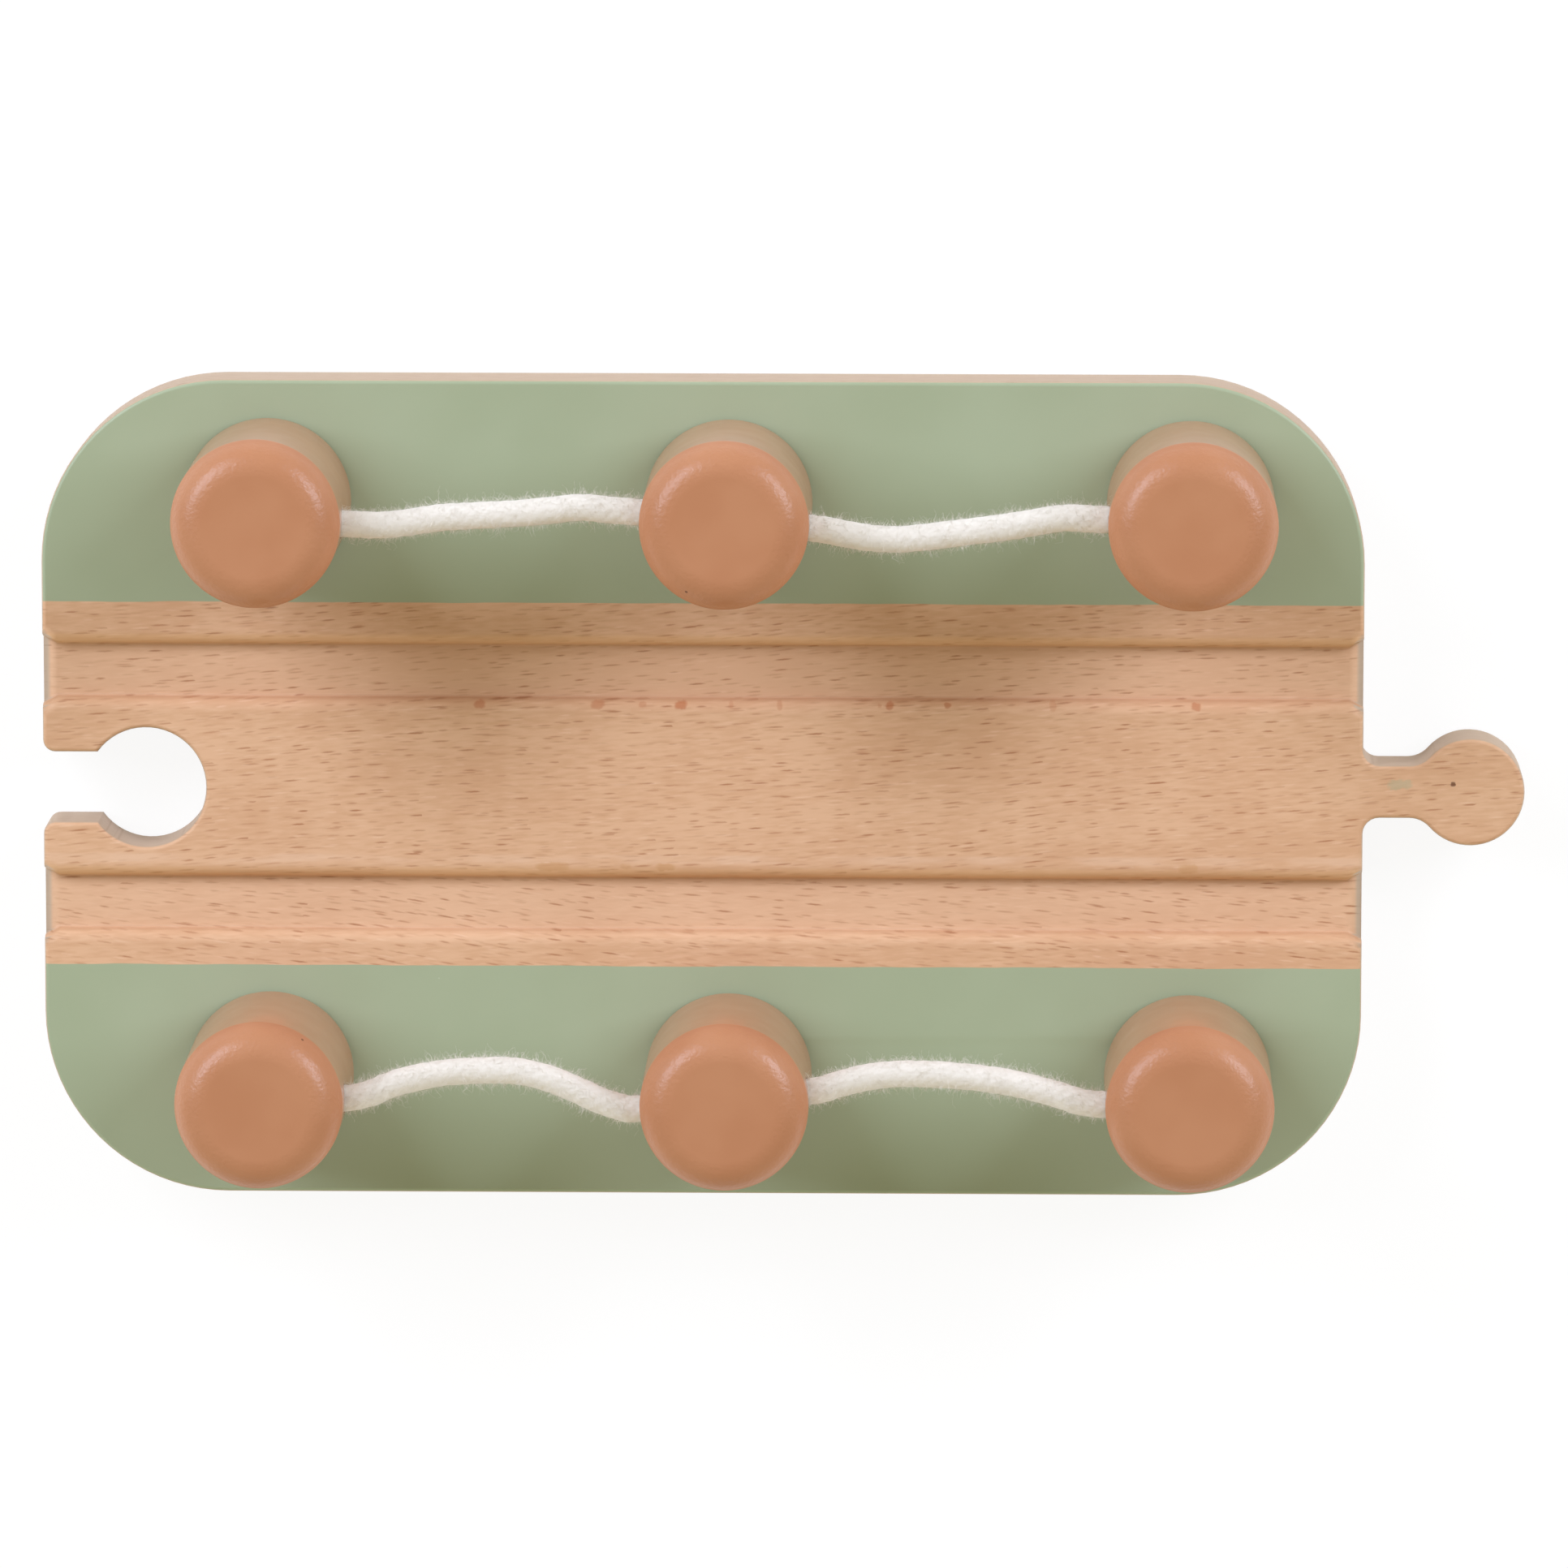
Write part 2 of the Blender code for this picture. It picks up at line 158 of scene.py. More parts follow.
class Tree:
    """A node tree whose nodes are made one call at a time."""

    def __init__(self, tree):
        self.tree = tree

    def node(self, kind, settings=(), sockets=(), output=0):
        made = self.tree.nodes.new(kind)
        for name, setting in dict(settings).items():
            setattr(made, name, setting)
        for key, value in dict(sockets).items():
            self.feed(made.inputs[key], value)
        return Value(self, made.outputs[output]) if made.outputs else made

    def feed(self, socket, value):
        if isinstance(value, Value):
            self.tree.links.new(value.socket, socket)
        else:
            socket.default_value = value

    def place(self):
        """Where a point lies on its object, in metres."""
        return self.node("ShaderNodeTexCoord", output="Object")

    def vector(self, x, y, z):
        return self.node("ShaderNodeCombineXYZ", (), {0: x, 1: y, 2: z})

    def parts(self, vector):
        """The X, Y and Z of a vector."""
        x = self.node("ShaderNodeSeparateXYZ", (), {0: vector})
        return x, x.of("Y"), x.of("Z")

    def facing(self):
        """The X, Y and Z of the way that a surface faces."""
        return self.parts(self.node("ShaderNodeNewGeometry", output="Normal"))

    def vectors(self, operation, first, second):
        """Vector maths on two vectors, or on a vector and a number to scale it by."""
        other = "Scale" if operation == "SCALE" else 1
        return self.node("ShaderNodeVectorMath", {"operation": operation}, {0: first, other: second})

    def mix(self, factor, first, second):
        """Blend of two colours."""
        return self.node("ShaderNodeMix", {"data_type": "RGBA"}, {0: factor, 6: first, 7: second}, 2)

    def noise(self, vector, scale, detail=2.0, output=0):
        """Soft random pattern; on metres, its scale counts the waves in a metre."""
        sockets = {"Vector": vector, "Scale": scale, "Detail": detail}
        return self.node("ShaderNodeTexNoise", (), sockets, output)

    def specks(self, vector, scale, size, share):
        """Mask of small round specks, in a share of the cells of a scattered pattern."""
        cell = self.node("ShaderNodeTexVoronoi", (), {"Vector": vector, "Scale": scale}, "Distance")
        chance = self.node("ShaderNodeSeparateColor", (), {0: cell.of("Color")})
        return cell.step(*size) * (chance > 1.0 - share)

    def bump(self, height, distance, strength=1.0):
        """A surface direction that follows a height."""
        sockets = {"Strength": strength, "Distance": distance, "Height": height}
        return self.node("ShaderNodeBump", (), sockets)


def linear(red, green, blue):
    """Linear colour with alpha, from the 0 to 255 values of a screen colour."""
    shares = [part / 255 for part in (red, green, blue)]
    return (*[s / 12.92 if s <= 0.04045 else ((s + 0.055) / 1.055) ** 2.4 for s in shares], 1.0)


def new_material(name):
    material = bpy.data.materials.new(name)
    material.use_nodes = True
    tree = Tree(material.node_tree)
    shader = material.node_tree.nodes["Principled BSDF"]
    return material, tree, shader


print("node kit ready")

# %% [markdown]
# The rope is soft, undyed cotton, so loosely laid that its strands hardly show. Its colour is a
# warm off-white, mottled at random, with shade painted a little darker into the hollows between
# strands. Rough, with some sheen on the shader's own socket, it scatters light the way loose fibres do.

# %% Cotton
COTTON = linear(232, 227, 218)
# The darker cotton serves both the shade painted into the hollows and a random mottle.
COTTON_SHADE_AND_MOTTLE = linear(214, 207, 197)
COTTON_BRIGHT = linear(244, 241, 233)
HOLLOW_SHADE_SHARE = 0.20
MOTTLE_SHARE = 0.18
MOTTLE_SCALE = 900.0
NAP_SCALE = 2600.0
NAP_BUMP = 0.06 * MM


def cotton_material():
    material, tree, shader = new_material("soft_cotton")
    place = tree.place()
    lay = tree.node("ShaderNodeAttribute", {"attribute_name": "lay_ridge"}, (), "Fac")
    mottle = tree.noise(place, MOTTLE_SCALE, 3.0)
    # Painted shade in the hollows between strands, plus a random mottle.
    shade_and_mottle = lay.step(0.55, 0.0) * HOLLOW_SHADE_SHARE + mottle.step(0.62, 0.30) * MOTTLE_SHARE
    tree.feed(shader.inputs["Base Color"], tree.mix(shade_and_mottle, COTTON, COTTON_SHADE_AND_MOTTLE))
    nap = tree.noise(place, NAP_SCALE, 3.0)
    tree.feed(shader.inputs["Normal"], tree.bump(nap, NAP_BUMP, 0.35))
    shader.inputs["Roughness"].default_value = 0.95
    shader.inputs["Sheen Weight"].default_value = 0.35
    shader.inputs["Sheen Roughness"].default_value = 0.6
    return material


def fibre_material():
    material, tree, shader = new_material("cotton_fibre")
    place = tree.place()
    shade = tree.noise(place, 400.0, 1.0)
    tree.feed(shader.inputs["Base Color"], tree.mix(shade, COTTON, COTTON_BRIGHT))
    shader.inputs["Roughness"].default_value = 0.9
    return material


COTTON_MATERIAL = cotton_material()
FIBRE_MATERIAL = fibre_material()
print(f"materials: {COTTON_MATERIAL.name}, {FIBRE_MATERIAL.name}")

# %% [markdown]
# Each rope is glued into a blind hole in one end post, runs through the middle post and ends in
# the other end post, sagging a little in between. A smooth curve through the listed points of its
# route keeps it from looking like bent wire. The points are given from the middle post's axis at
# the height of the holes.

# %% Rope routes
ROPE_HEIGHT = 16.0 * MM
ROPE_ROUTES = {
    "far": [
        (-0.0482, -0.0001, 0.0),
        (-0.0446, -0.0003, 0.0),
        (-0.0410, -0.0005, 0.0),
        (-0.0376, -0.0007, -0.0004),
        (-0.0342, -0.0005, -0.0010),
        (-0.0305, 0.0000, -0.0016),
        (-0.0265, 0.0002, -0.0020),
        (-0.0225, 0.0004, -0.0021),
        (-0.0188, 0.0008, -0.0018),
        (-0.0155, 0.0012, -0.0012),
        (-0.0123, 0.0010, -0.0005),
        (-0.0091, 0.0008, 0.0),
        (0.0, 0.0, 0.0),
        (0.0091, -0.0008, 0.0),
        (0.0124, -0.0014, -0.0005),
        (0.0156, -0.0020, -0.0011),
        (0.0188, -0.0022, -0.0016),
        (0.0222, -0.0019, -0.0020),
        (0.0260, -0.0014, -0.0021),
        (0.0299, -0.0009, -0.0018),
        (0.0335, -0.0002, -0.0012),
        (0.0364, 0.0003, -0.0006),
        (0.0387, 0.0003, -0.0002),
        (0.0410, 0.0002, 0.0),
        (0.0446, 0.0001, 0.0),
        (0.0482, 0.0, 0.0),
    ],
    "near": [
        (-0.0482, 0.0, 0.0),
        (-0.0446, 0.0, 0.0),
        (-0.0410, 0.0, 0.0),
        (-0.0385, 0.0005, -0.0003),
        (-0.0362, 0.0014, -0.0007),
        (-0.0334, 0.0021, -0.0012),
        (-0.0300, 0.0026, -0.0017),
        (-0.0262, 0.0028, -0.0020),
        (-0.0226, 0.0027, -0.0020),
        (-0.0194, 0.0021, -0.0016),
        (-0.0166, 0.0011, -0.0011),
        (-0.0140, 0.0, -0.0006),
        (-0.0115, -0.0008, -0.0002),
        (-0.0091, -0.00096, 0.0),
        (0.0, 0.0, 0.0),
        (0.0091, 0.00096, 0.0),
        (0.0122, 0.0017, -0.0004),
        (0.0154, 0.0024, -0.0010),
        (0.0188, 0.0027, -0.0015),
        (0.0225, 0.0026, -0.0019),
        (0.0264, 0.0023, -0.0020),
        (0.0300, 0.0019, -0.0017),
        (0.0332, 0.0013, -0.0012),
        (0.0360, 0.0006, -0.0007),
        (0.0386, -0.0001, -0.0002),
        (0.0410, -0.0003, 0.0),
        (0.0446, -0.0002, 0.0),
        (0.0482, -0.0001, 0.0),
    ],
}
STEPS_BETWEEN_POINTS = 6


def smooth_through(points):
    """Points on a smooth curve that passes through every point of a route."""
    ends = [points[0] * 2 - points[1], *points, points[-1] * 2 - points[-2]]
    smooth = []
    for before, start, end, after in zip(ends, ends[1:], ends[2:], ends[3:]):
        for step in range(STEPS_BETWEEN_POINTS):
            t = step / STEPS_BETWEEN_POINTS
            bend = (2 * before - 5 * start + 4 * end - after) * t**2
            twist = (3 * start - before - 3 * end + after) * t**3
            smooth.append(0.5 * (2 * start + (end - before) * t + bend + twist))
    return smooth + [points[-1]]


def post_axis(name):
    """Middle of a post at the deck's top."""
    low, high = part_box(name)
    return Vector(((low.x + high.x) / 2, (low.y + high.y) / 2, DECK_TOP))


rope_paths = {}
for row in ROWS:
    hole = post_axis(f"post_middle_{row}") + Vector((0.0, 0.0, ROPE_HEIGHT))
    rope_paths[row] = smooth_through([hole + Vector(point) for point in ROPE_ROUTES[row]])
rope_lengths = {
    row: sum((b - a).length for a, b in zip(path, path[1:])) for row, path in rope_paths.items()
}
print("rope lengths:", {row: f"{length / MM:.1f} mm" for row, length in rope_lengths.items()})

# %% [markdown]
# The rope's body follows a path by a rule, so Geometry Nodes make it: a circle is swept along
# the route, and the swept skin rises and falls in faint ridges that wind around it as laid strands
# do, and in softer lumps. The ridge is kept as an attribute, so that the material can paint shade
# into the hollows. The result is turned into a plain mesh, which travels well to other programs.

# %% Rope bodies
BODY_RADIUS = 1.43 * MM
STRANDS = 6
LAY_LENGTH = 9.0 * MM
LAY_DEPTH = 0.04 * MM
LUMP_DEPTH = 0.18 * MM
LUMP_SCALE = 420.0
NAP_DEPTH = 0.10 * MM
NAP_LUMP_SCALE = 1500.0
RING_SPACING = 0.13 * MM
RING_POINTS = 44


def new_geometry_tree(name, inputs):
    """A Geometry Nodes tree with a geometry in and out and named number inputs."""
    group = bpy.data.node_groups.new(name, "GeometryNodeTree")
    group.interface.new_socket("Geometry", in_out="INPUT", socket_type="NodeSocketGeometry")
    group.interface.new_socket("Geometry", in_out="OUTPUT", socket_type="NodeSocketGeometry")
    for label, kind in inputs.items():
        group.interface.new_socket(label, in_out="INPUT", socket_type=kind)
    tree = Tree(group)
    return group, tree, tree.node("NodeGroupInput")


def make_mesh_with(group, source, name, values):
    """Run a Geometry Nodes tree on an object and keep the result as a plain mesh object."""
    modifier = source.modifiers.new(group.name, "NODES")
    modifier.node_group = group
    for socket in group.interface.items_tree:
        if socket.in_out == "INPUT" and socket.name in values:
            modifier[socket.identifier] = values[socket.name]
    bpy.context.view_layer.update()
    evaluated = source.evaluated_get(bpy.context.evaluated_depsgraph_get())
    mesh = bpy.data.meshes.new_from_object(evaluated)
    source.modifiers.remove(modifier)
    made = bpy.data.objects.new(name, mesh)
    bpy.context.scene.collection.objects.link(made)
    return made


def keep_number(tree, geometry, name, value):
    """Store a number on every point under a name."""
    settings = {"data_type": "FLOAT", "domain": "POINT"}
    sockets = {"Geometry": geometry, "Name": name, "Value": value}
    return tree.node("GeometryNodeStoreNamedAttribute", settings, sockets)


def rope_body_tree():
    number = "NodeSocketFloat"
    inputs = {"Radius": number, "Strands": "NodeSocketInt", "Lay length": number, "Lay depth": number}
    inputs.update({"Lump depth": number, "Nap depth": number})
    inputs.update({"Ring spacing": number, "Ring points": "NodeSocketInt"})
    group, tree, given = new_geometry_tree("rope_body", inputs)
    path = tree.node(
        "GeometryNodeResampleCurve",
        {"mode": "LENGTH"},
        {"Curve": given, "Length": given.of("Ring spacing")},
    )
    path = keep_number(tree, path, "along", tree.node("GeometryNodeSplineParameter", output="Length"))
    ring = tree.node(
        "GeometryNodeCurvePrimitiveCircle",
        {"mode": "RADIUS"},
        {"Resolution": given.of("Ring points"), "Radius": given.of("Radius")},
    )
    ring = keep_number(tree, ring, "around", tree.node("GeometryNodeSplineParameter"))
    skin = tree.node(
        "GeometryNodeCurveToMesh", (), {"Curve": path, "Profile Curve": ring, "Fill Caps": True}
    )
    along = tree.node("GeometryNodeInputNamedAttribute", {"data_type": "FLOAT"}, {"Name": "along"})
    around = tree.node("GeometryNodeInputNamedAttribute", {"data_type": "FLOAT"}, {"Name": "around"})
    turns = (along / given.of("Lay length") + around) * given.of("Strands")
    ridge = abs((turns * math.pi).math("SINE"))
    place = tree.node("GeometryNodeInputPosition")
    lump = tree.noise(place, LUMP_SCALE, 2.0) - 0.5
    nap = tree.noise(place, NAP_LUMP_SCALE, 3.0) - 0.5
    lumps = lump * given.of("Lump depth") + nap * given.of("Nap depth")
    rise = (ridge - 0.6) * given.of("Lay depth") + lumps
    offset = tree.vectors("SCALE", tree.node("GeometryNodeInputNormal"), rise)
    skin = keep_number(tree, skin, "lay_ridge", ridge)
    skin = tree.node("GeometryNodeSetPosition", (), {"Geometry": skin, "Offset": offset})
    skin = tree.node("GeometryNodeSetShadeSmooth", (), {"Geometry": skin})
    skin = tree.node("GeometryNodeRealizeInstances", (), {"Geometry": skin})
    skin = tree.node("GeometryNodeSetMaterial", (), {"Geometry": skin, "Material": COTTON_MATERIAL})
    tree.node("NodeGroupOutput", (), {0: skin})
    return group


def path_object(name, points):
    curve = bpy.data.curves.new(name, "CURVE")
    curve.dimensions = "3D"
    spline = curve.splines.new("POLY")
    spline.points.add(len(points) - 1)
    for spot, point in zip(spline.points, points):
        spot.co = (*point, 1.0)
    guide = bpy.data.objects.new(name, curve)
    bpy.context.scene.collection.objects.link(guide)
    return guide


BODY_VALUES = {
    "Radius": BODY_RADIUS,
    "Strands": STRANDS,
    "Lay length": LAY_LENGTH,
    "Lay depth": LAY_DEPTH,
    "Lump depth": LUMP_DEPTH,
    "Nap depth": NAP_DEPTH,
    "Ring spacing": RING_SPACING,
    "Ring points": RING_POINTS,
}
body_tree = rope_body_tree()
rope_bodies = {}
for row in ROWS:
    guide = path_object(f"guide_{row}", rope_paths[row])
    rope_bodies[row] = make_mesh_with(body_tree, guide, f"rope_{row}_body", BODY_VALUES)
    bpy.data.objects.remove(guide)
print("rope bodies:", {row: len(body.data.polygons) for row, body in rope_bodies.items()}, "faces")

# %% [markdown]
# Loose cotton shows as a soft haze of fibres along the rope's outline. Hair particles would not
# survive an export, so Geometry Nodes scatter points over the rope's skin, stand a short line on
# each, bend every line by a noise that grows towards its tip, and sweep a tiny triangle along it.
# Four kinds share the tree: a dense short nap, two lengths of curled down and a few long strays.

# %% Rope fuzz
FUZZ_INPUTS = ("Density", "Shortest", "Longest", "Curl", "Points")
FUZZ_KINDS = {
    "halo": (25.0e6, 0.22 * MM, 0.60 * MM, 1.0 * MM, 2),
    "down": (10.5e6, 0.35 * MM, 0.95 * MM, 1.7 * MM, 4),
    "haze": (6.6e6, 0.45 * MM, 1.35 * MM, 2.6 * MM, 6),
    "stray": (0.35e6, 0.80 * MM, 1.90 * MM, 3.4 * MM, 10),
}
FUZZ_RADIUS = 0.006 * MM
FUZZ_LEAN = 2.3
DRIFT_SCALE = 2400.0
FUZZ_SEEDS = {"far": 11, "near": 23}


def random_number(tree, low, high, seed):
    sockets = {2: low, 3: high, "Seed": seed}
    return tree.node("FunctionNodeRandomValue", {"data_type": "FLOAT"}, sockets, 1)


def random_vector(tree, reach, seed):
    sockets = {0: (-reach, -reach, -reach), 1: (reach, reach, reach), "Seed": seed}
    return tree.node("FunctionNodeRandomValue", {"data_type": "FLOAT_VECTOR"}, sockets, 0)


def rope_fuzz_tree():
    number = "NodeSocketFloat"
    inputs = {"Density": number, "Shortest": number, "Longest": number, "Radius": number, "Curl": number}
    inputs.update({"Points": "NodeSocketInt", "Seed": "NodeSocketInt"})
    group, tree, given = new_geometry_tree("rope_fuzz", inputs)
    roots = tree.node(
        "GeometryNodeDistributePointsOnFaces",
        {"distribute_method": "RANDOM"},
        {"Mesh": given, "Density": given.of("Density"), "Seed": given.of("Seed")},
    )
    line = tree.node("GeometryNodeCurvePrimitiveLine", {"mode": "POINTS"}, {"End": (0.0, 0.0, 1.0)})
    line = tree.node(
        "GeometryNodeResampleCurve", {"mode": "COUNT"}, {"Curve": line, "Count": given.of("Points")}
    )
    way = tree.vectors("ADD", roots.of("Normal"), random_vector(tree, FUZZ_LEAN, given.of("Seed")))
    turn = tree.node("FunctionNodeAlignRotationToVector", {"axis": "Z"}, {"Vector": way})
    chance = random_number(tree, 0.0, 1.0, given.of("Seed"))
    length = given.of("Shortest") + chance * chance * (given.of("Longest") - given.of("Shortest"))
    size = tree.vector(length, length, length)
    hairs = tree.node(
        "GeometryNodeInstanceOnPoints",
        (),
        {"Points": roots, "Instance": line, "Rotation": turn, "Scale": size},
    )
    hairs = tree.node("GeometryNodeRealizeInstances", (), {"Geometry": hairs})
    share = tree.node("GeometryNodeSplineParameter", output="Factor")
    span = tree.node("GeometryNodeSplineLength")
    drift = tree.noise(tree.node("GeometryNodeInputPosition"), DRIFT_SCALE, 1.0, "Color")
    drift = tree.vectors("SUBTRACT", drift, (0.5, 0.5, 0.5))
    pull = share * share.math("SQRT") * span / given.of("Longest") * given.of("Curl")
    offset = tree.vectors("SCALE", drift, pull)
    hairs = tree.node("GeometryNodeSetPosition", (), {"Geometry": hairs, "Offset": offset})
    ring = tree.node(
        "GeometryNodeCurvePrimitiveCircle",
        {"mode": "RADIUS"},
        {"Resolution": 3, "Radius": given.of("Radius")},
    )
    hairs = tree.node(
        "GeometryNodeCurveToMesh", (), {"Curve": hairs, "Profile Curve": ring, "Fill Caps": True}
    )
    hairs = tree.node("GeometryNodeRealizeInstances", (), {"Geometry": hairs})
    hairs = tree.node("GeometryNodeSetMaterial", (), {"Geometry": hairs, "Material": FIBRE_MATERIAL})
    tree.node("NodeGroupOutput", (), {0: hairs})
    return group


fuzz_tree = rope_fuzz_tree()
rope_fuzz = {row: [] for row in ROWS}
for row in ROWS:
    for kind, sizes in FUZZ_KINDS.items():
        values = {"Radius": FUZZ_RADIUS, "Seed": FUZZ_SEEDS[row], **dict(zip(FUZZ_INPUTS, sizes))}
        fuzz = make_mesh_with(fuzz_tree, rope_bodies[row], f"rope_{row}_{kind}", values)
        rope_fuzz[row].append(fuzz)
        print(f"{fuzz.name}: {len(fuzz.data.polygons)} faces")

# %% [markdown]
# A rope is a fixed length of something limp. Its body and fibres ride with the root body,
# and the frame's own rope is hidden. Its far end goes back into the object.

for row in ROWS:
    body, fuzz = rope_bodies[row], rope_fuzz[row]
    for piece in (body, *fuzz):
        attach(piece, "root")
    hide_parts(f"rope_{row}")
print("ropes declared:", ", ".join(body.name for body in rope_bodies.values()))

# %% [markdown]
# Beech is a pale orange-tan wood, finely speckled, with many short dark pores: dashes one or two
# millimetres long that follow the grain. Stretching a noise alone gives endless streaks. So a
# Voronoi texture scatters one dash in each cell: the distance to the cell's own point is turned
# by the lean of the grain at that place and measured as a thin ellipse. The grain rises to the
# right along the middle of the board and falls along its near edge.

# %% Beech
BEECH_LIGHT = linear(219, 178, 143)
BEECH_DARK = linear(209, 165, 129)
BEECH_PORE = linear(156, 96, 56)
BEECH_FLECK = linear(232, 196, 166)
# A paler tone for the floors of the grooves.
BEECH_PALER_FLOOR = linear(230, 190, 158)
# Bare beech of the outer walls, greyer in part as a painted reflection of the white surroundings.
BEECH_WALL_AND_REFLECTION = linear(184, 168, 148)
LEAN_MIDDLE = 0.06
LEAN_NEAR = -0.13
LEAN_TURN = (-8.0 * MM, -13.0 * MM)
LEAN_WANDER = 0.25
DASH_LENGTH = 1.15 * MM
DASH_WIDTH = 0.115 * MM
DASH_RAGGED = 0.08 * MM
LARGE_PORES = (3.1 * MM, 0.90 * MM, 0.0)
SMALL_PORES = (2.3 * MM, 0.55 * MM, 7.3)
PALE_FLECKS = (2.9 * MM, 0.80 * MM, 3.9)
PORE_DEPTH = 0.68
FLECK_DEPTH = 0.42
PALER_FLOOR_DEPTH = 0.35
BARE_REACH = 21.0 * MM


def random_parts(tree, colour):
    """Three random numbers from 0 to 1 out of a random colour."""
    parts = tree.node("ShaderNodeSeparateColor", (), {0: colour})
    return parts, parts.of("Green"), parts.of("Blue")


def dashes(tree, x, y, lean, cell_length, cell_width, shift):
    """Thin dashes along the grain, one in each cell of a scattered pattern, and a random number."""
    spot = tree.vector(x / cell_length + shift, y / cell_width, 0.0)
    cell = tree.node(
        "ShaderNodeTexVoronoi",
        {"voronoi_dimensions": "2D"},
        {"Vector": spot, "Scale": 1.0, "Randomness": 1.0},
        "Position",
    )
    away_x, away_y, _ = tree.parts(tree.vectors("SUBTRACT", spot, cell))
    along = away_x * cell_length
    across = away_y * cell_width - along * lean
    chance, size, depth = random_parts(tree, cell.of("Color"))
    length = DASH_LENGTH * (0.50 + size * 0.65)
    lengthwise, widthwise = along / length, across / DASH_WIDTH
    far = (lengthwise * lengthwise + widthwise * widthwise).math("SQRT")
    return far.step(1.20, 0.30) * (0.30 + depth * 0.70), chance


def beech_finish(tree, place, groove_floor_mask):
    """Colour of bare beech with its grain along X, its pores and its fine grain."""
    x, y, z = tree.parts(place)
    wander = tree.noise(place, 45.0, 1.0) - 0.5
    lean = LEAN_MIDDLE + y.step(*LEAN_TURN) * (LEAN_NEAR - LEAN_MIDDLE) + wander * LEAN_WANDER
    ragged = (tree.noise(place, 2400.0, 2.0) - 0.5) * DASH_RAGGED
    layer = y + ragged + z * (abs(y) > BARE_REACH)
    large, large_chance = dashes(tree, x, layer, lean, *LARGE_PORES)
    small, small_chance = dashes(tree, x, layer, lean, *SMALL_PORES)
    pale, pale_chance = dashes(tree, x, layer, lean, *PALE_FLECKS)
    pores = large * large_chance.step(0.20, 0.80) + small * small_chance.step(0.30, 0.95) * 0.65
    flecks = pale * (pale_chance > 0.65)
    follow = y - x * LEAN_MIDDLE
    bands = tree.noise(tree.vector(x * 9.0, follow * 120.0, z * 120.0), 1.0, 2.0)
    grain = tree.noise(tree.vector(x * 420.0, follow * 2600.0, z * 2600.0), 1.0, 3.0)
    cloud = tree.noise(place, 110.0, 2.0)
    tone = bands * 0.34 + grain * 0.42 + cloud * 0.24
    bare = tree.mix(tone.step(0.39, 0.61), BEECH_LIGHT, BEECH_DARK)
    bare = tree.mix(flecks * FLECK_DEPTH, bare, BEECH_FLECK)
    # The floors of the grooves are made paler.
    bare = tree.mix(groove_floor_mask * PALER_FLOOR_DEPTH, bare, BEECH_PALER_FLOOR)
    return tree.mix(pores.math("MINIMUM", 1.0) * PORE_DEPTH, bare, BEECH_PORE), pores, grain


print("beech ready")

# %% [markdown]
# Marks give the deck its character: a row of rusty resin spots along one lip of a groove, ochre
# stains and a pale line along a lip of the other, and a smudge of green and a dark dot on the
# peg. Each mark is a soft patch. Its place along the board, half length and half width are in
# millimetres, and its last number says how strongly it covers the wood.

# %% Marks on the deck
SAGE = linear(165, 177, 148)
SAGE_DEEP = linear(160, 172, 142)
RESIN = linear(184, 110, 66)
RESIN_LINE = 9.25 * MM
RESIN_DEPTH = 0.72
RESIN_SPOTS = [
    (-24.3, 0.60, 0.45, 0.75),
    (-11.4, 0.80, 0.50, 0.65),
    (-6.5, 0.45, 0.30, 0.45),
    (-2.35, 0.72, 0.45, 1.00),
    (3.15, 0.25, 0.40, 0.35),
    (8.4, 0.27, 0.50, 0.45),
    (19.3, 0.20, 0.25, 0.40),
    (20.4, 0.45, 0.42, 0.90),
    (26.75, 0.38, 0.30, 0.80),
    (38.2, 0.35, 0.60, 0.35),
    (53.8, 0.50, 0.42, 0.80),
]
OCHRE = linear(200, 152, 106)
OCHRE_LINE = -8.60 * MM
OCHRE_PATCHES = [
    (-16.4, 1.85, 0.50, 0.60),
    (-8.4, 0.70, 0.25, 0.40),
    (-4.0, 1.05, 0.45, 0.60),
    (53.0, 1.05, 0.50, 0.55),
]
PALE_LIP = linear(228, 194, 166)
PALE_LIP_LINE = -7.75 * MM
PALE_LIP_REACH = 0.65 * MM
PALE_LIP_DEPTH = 0.45
PEG_DOT_BROWN = linear(92, 52, 30)
PEG_DOT = (81.8, 0.26, 0.26, 0.80)
PEG_DOT_LINE = 0.9 * MM
PEG_SMUDGE = (76.0, 1.35, 0.55, 0.40)
PEG_SMUDGE_LINE = 0.85 * MM
RAGGED_SCALE = 1500.0
RAGGED_REACH = 0.5 * MM


def patch(x, y, along, line, half_length, half_width):
    """Soft mask of a squarish patch about a place on the deck."""
    lengthwise = abs((x - along) / half_length).math("POWER", 3.0)
    widthwise = abs((y - line) / half_width).math("POWER", 3.0)
    return (lengthwise + widthwise).step(1.60, 0.15)


def patches(x, y, line, listed):
    """Sum of the masks of several patches along one line, each with its own depth."""
    masks = [
        patch(x, y, along * MM, line, half_length * MM, half_width * MM) * depth
        for along, half_length, half_width, depth in listed
    ]
    return sum(masks)


